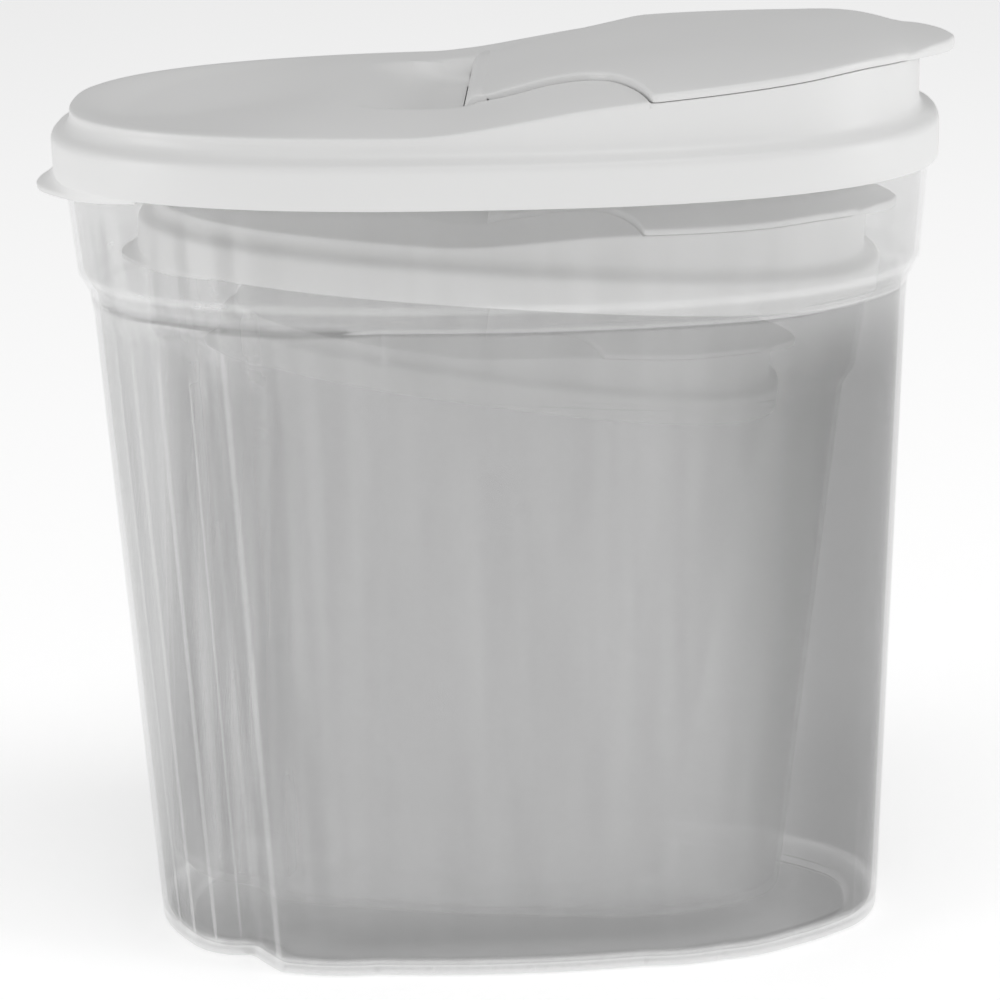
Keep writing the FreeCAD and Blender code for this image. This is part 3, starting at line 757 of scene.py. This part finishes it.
def satin_white(name, tint):
    """Moulded satin polypropylene: fine texture, slow waviness, slightly uneven gloss."""
    material = bpy.data.materials.new(name)
    material.use_nodes = True
    tree = material.node_tree
    shader = tree.nodes["Principled BSDF"]
    shader.inputs["IOR"].default_value = 1.49
    where = node(tree, "ShaderNodeTexCoord")
    cloud = node(tree, "ShaderNodeTexNoise", Scale=28.0, Detail=2.0)
    tree.links.new(where.outputs["Object"], cloud.inputs["Vector"])
    colour = node(tree, "ShaderNodeValToRGB")
    colour.color_ramp.elements[0].color = (tint * 0.975, tint * 0.975, tint * 0.97, 1)
    colour.color_ramp.elements[1].color = (tint * 1.01, tint * 1.01, tint * 1.005, 1)
    tree.links.new(cloud.outputs["Fac"], colour.inputs["Fac"])
    tree.links.new(colour.outputs["Color"], shader.inputs["Base Color"])
    gloss = node(tree, "ShaderNodeMapRange")
    gloss.inputs["To Min"].default_value = 0.33
    gloss.inputs["To Max"].default_value = 0.45
    tree.links.new(cloud.outputs["Fac"], gloss.inputs["Value"])
    tree.links.new(gloss.outputs["Result"], shader.inputs["Roughness"])
    grain = node(tree, "ShaderNodeTexNoise", Scale=2600.0, Detail=1.0)
    tree.links.new(where.outputs["Object"], grain.inputs["Vector"])
    bump = node(tree, "ShaderNodeBump", Strength=0.07, Distance=0.0002)
    tree.links.new(grain.outputs["Fac"], bump.inputs["Height"])
    tree.links.new(bump.outputs["Normal"], shader.inputs["Normal"])
    return material


def map_range(tree, value, low, high, to_low, to_high):
    """Smooth step of a value, from one range to another."""
    step = node(tree, "ShaderNodeMapRange", interpolation_type="SMOOTHSTEP")
    for key, number in (("From Min", low), ("From Max", high), ("To Min", to_low),
                        ("To Max", to_high)):
        step.inputs[key].default_value = number
    tree.links.new(value, step.inputs["Value"])
    return step.outputs["Result"]


def clear_grey(name, cover, tint, painted_shade_tint, painted_band_light, painted_ledge_lines):
    """Clear moulded plastic with a grey haze: painted shade towards the base and the pouring end,
    painted light in the band under the lid, painted reflection streaks strongest at the grip end,
    painted highlights on edges, ribs and ledges with a painted shadow line at the shoulder, and
    a slightly uneven gloss."""
    material = bpy.data.materials.new(name)
    material.use_nodes = True
    tree = material.node_tree
    shader = tree.nodes["Principled BSDF"]
    shader.inputs["Alpha"].default_value = cover
    shader.inputs["IOR"].default_value = 1.49
    where = node(tree, "ShaderNodeTexCoord")
    stretch = node(tree, "ShaderNodeMapping", Scale=(1.0, 1.0, 0.05))
    tree.links.new(where.outputs["Object"], stretch.inputs["Vector"])
    streaks = node(tree, "ShaderNodeTexNoise", Scale=170.0, Detail=1.0)
    tree.links.new(stretch.outputs["Vector"], streaks.inputs["Vector"])
    axes = node(tree, "ShaderNodeSeparateXYZ")
    tree.links.new(where.outputs["Object"], axes.inputs["Vector"])
    # painted shade: the haze darkens towards the pouring end and towards the base
    shade_to_end = map_range(tree, axes.outputs["X"], 0.045, 0.095, 0.0, 1.0)
    shade_to_base = map_range(tree, axes.outputs["Z"], 0.006, 0.030, 0.75, 0.0)
    painted_shade = node(tree, "ShaderNodeMath", operation="MAXIMUM")
    tree.links.new(shade_to_end, painted_shade.inputs[0])
    tree.links.new(shade_to_base, painted_shade.inputs[1])
    haze = node(tree, "ShaderNodeMix", data_type="RGBA")
    haze.inputs[6].default_value = (tint, tint, tint, 1)
    haze.inputs[7].default_value = (painted_shade_tint, painted_shade_tint * 1.01, painted_shade_tint, 1)
    tree.links.new(painted_shade.outputs[0], haze.inputs[0])
    # painted light: the band under the lid is lightened
    band = node(tree, "ShaderNodeMix", data_type="RGBA")
    band.inputs[7].default_value = (painted_band_light, painted_band_light, painted_band_light, 1)
    tree.links.new(map_range(tree, axes.outputs["Z"], 0.165, 0.205, 0.0, 1.0), band.inputs[0])
    tree.links.new(haze.outputs[2], band.inputs[6])
    lit = band.outputs[2]
    # painted lines at given heights: painted highlights, and a painted shadow line at the
    # shoulder's foot
    for height, painted_line_tint in painted_ledge_lines:
        below = node(tree, "ShaderNodeMath", operation="SUBTRACT")
        tree.links.new(axes.outputs["Z"], below.inputs[0])
        below.inputs[1].default_value = height
        apart = node(tree, "ShaderNodeMath", operation="ABSOLUTE")
        tree.links.new(below.outputs[0], apart.inputs[0])
        ledge = node(tree, "ShaderNodeMix", data_type="RGBA")
        ledge.inputs[7].default_value = (painted_line_tint, painted_line_tint, painted_line_tint, 1)
        tree.links.new(map_range(tree, apart.outputs[0], 0.0004, 0.0016, 0.9, 0.0),
                       ledge.inputs[0])
        tree.links.new(lit, ledge.inputs[6])
        lit = ledge.outputs[2]
    # painted reflection streaks, lighter and darker, strongest at the grip end
    painted_reflection_streaks = node(tree, "ShaderNodeMix", data_type="RGBA", blend_type="MULTIPLY")
    tree.links.new(map_range(tree, axes.outputs["X"], -0.075, -0.045, 1.0, 0.25),
                   painted_reflection_streaks.inputs[0])
    tree.links.new(lit, painted_reflection_streaks.inputs[6])
    tree.links.new(map_range(tree, streaks.outputs["Fac"], 0.35, 0.65, 0.72, 1.14),
                   painted_reflection_streaks.inputs[7])
    # painted highlights on convex edges, ribs and ledges, by pointiness
    shape = node(tree, "ShaderNodeNewGeometry")
    painted_edge_highlight = node(tree, "ShaderNodeMix", data_type="RGBA")
    painted_edge_highlight.inputs[7].default_value = (0.93, 0.93, 0.93, 1)
    tree.links.new(map_range(tree, shape.outputs["Pointiness"], 0.501, 0.515, 0.0, 0.9),
                   painted_edge_highlight.inputs[0])
    tree.links.new(painted_reflection_streaks.outputs[2], painted_edge_highlight.inputs[6])
    tree.links.new(painted_edge_highlight.outputs[2], shader.inputs["Base Color"])
    cloud = node(tree, "ShaderNodeTexNoise", Scale=18.0, Detail=1.0)
    tree.links.new(where.outputs["Object"], cloud.inputs["Vector"])
    tree.links.new(map_range(tree, cloud.outputs["Fac"], 0.2, 0.8, 0.06, 0.16),
                   shader.inputs["Roughness"])
    return material


def plain_floor(name):
    """Pale matt studio floor, lifted a little so that it stays near white."""
    material = bpy.data.materials.new(name)
    material.use_nodes = True
    shader = material.node_tree.nodes["Principled BSDF"]
    shader.inputs["Base Color"].default_value = (0.93, 0.93, 0.93, 1)
    shader.inputs["Roughness"].default_value = 0.9
    shader.inputs["Emission Color"].default_value = (1, 1, 1, 1)
    shader.inputs["Emission Strength"].default_value = 0.38
    return material


# ---------------------------------------------------------------- build
lid_white = satin_white("white_lid_plastic", 0.80)
flap_white = satin_white("white_flap_plastic", 0.79)
# painted light: the nested lids and flaps use the lid's white painted lighter, for light they do
# not get inside the tubs
nested_white_painted_lighter = satin_white("white_lid_plastic_nested_painted_lighter", 0.95)
# one clear plastic in two copies: the large tub's haze is painted darker as painted shade, with
# painted highlight lines at the foot and the shoulder's top and a painted shadow line at the
# shoulder's foot
outer_clear = clear_grey("clear_plastic", 0.25, 0.52, 0.02, 0.74,
                         ((0.0042, 1.0), (0.1893, 0.15), (0.1962, 1.0)))
# painted light: the nested tubs' haze is painted much lighter than the large tub's
inner_clear_painted_lighter = clear_grey("clear_plastic_nested_painted_lighter", 0.25, 0.97, 0.80, 0.97, ())
drawings = (("tub", draw_tub(), 50.0), ("lid", draw_lid(), 40.0), ("flap", draw_flap(), 40.0))
for canister, *shape in CANISTERS:
    matrix = placement(*shape)
    if canister == "large":
        finishes = {"tub": outer_clear, "lid": lid_white, "flap": flap_white}
    else:
        finishes = {"tub": inner_clear_painted_lighter, "lid": nested_white_painted_lighter, "flap": nested_white_painted_lighter}
    for part, solid, sharp in drawings:
        cad_node = canister + "_" + part
        piece = make_piece(cad_node + "_moulding", solid, matrix, finishes[part], sharp)
        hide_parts(cad_node)
        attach(piece, cad_node)

# ---------------------------------------------------------------- floor, light and camera
FLOOR_SIZE, FLOOR_DROP = 40.0, 0.0002
bpy.ops.mesh.primitive_plane_add(size=FLOOR_SIZE, location=(0, 0, -FLOOR_DROP))
floor = bpy.context.object
floor.name = "studio_floor"
floor.data.materials.append(plain_floor("studio_floor"))

world = bpy.data.worlds.new("studio")
bpy.context.scene.world = world
world.use_nodes = True
world.node_tree.nodes["Background"].inputs["Color"].default_value = (1, 1, 1, 1)
world.node_tree.nodes["Background"].inputs["Strength"].default_value = 0.41


def soft_light(name, position, aim_at, size, power):
    """Rectangular studio light."""
    light = bpy.data.lights.new(name, "AREA")
    light.shape = "RECTANGLE"
    light.size, light.size_y = size
    light.energy = power
    lamp = bpy.data.objects.new(name, light)
    bpy.context.scene.collection.objects.link(lamp)
    lamp.location = position
    towards = Vector(aim_at) - Vector(position)
    lamp.rotation_euler = towards.to_track_quat("-Z", "Y").to_euler()


soft_light("top_key", (0.3, -0.60, 2.05), (0, 0, 0.12), (1.1, 0.8), 8.0)
soft_light("left_fill", (-1.7, -0.8, 0.6), (0, 0, 0.15), (0.5, 1.4), 9.0)
soft_light("right_fill", (1.7, -0.5, 0.6), (0, 0, 0.15), (0.4, 1.4), 9.0)

CAMERA_YAW, CAMERA_RISE, CAMERA_ROLL = 0.034, 0.329, -0.027
CAMERA_DISTANCE, CAMERA_AIM = 0.904, Vector((0.00578, 0.0, 0.1214))
back = Vector((math.sin(CAMERA_YAW) * math.cos(CAMERA_RISE),
               -math.cos(CAMERA_YAW) * math.cos(CAMERA_RISE), math.sin(CAMERA_RISE)))
right = Vector((0, 0, 1)).cross(back).normalized()
up = back.cross(right)
c, s = math.cos(CAMERA_ROLL), math.sin(CAMERA_ROLL)
right, up = c * right + s * up, c * up - s * right
lens = bpy.data.cameras.new("camera")
lens.sensor_width, lens.lens = 36.0, 115.0
lens.shift_x, lens.shift_y = -0.0261, 0.0105
camera = bpy.data.objects.new("camera", lens)
bpy.context.scene.collection.objects.link(camera)
position = CAMERA_AIM + back * CAMERA_DISTANCE
camera.matrix_world = Matrix(((right.x, up.x, back.x, position.x),
                              (right.y, up.y, back.y, position.y),
                              (right.z, up.z, back.z, position.z), (0, 0, 0, 1)))
bpy.context.scene.camera = camera
bpy.context.scene.view_settings.view_transform = "Standard"
# three nested tubs put up to sixteen clear surfaces behind one another
bpy.context.scene.cycles.transparent_max_bounces = 40
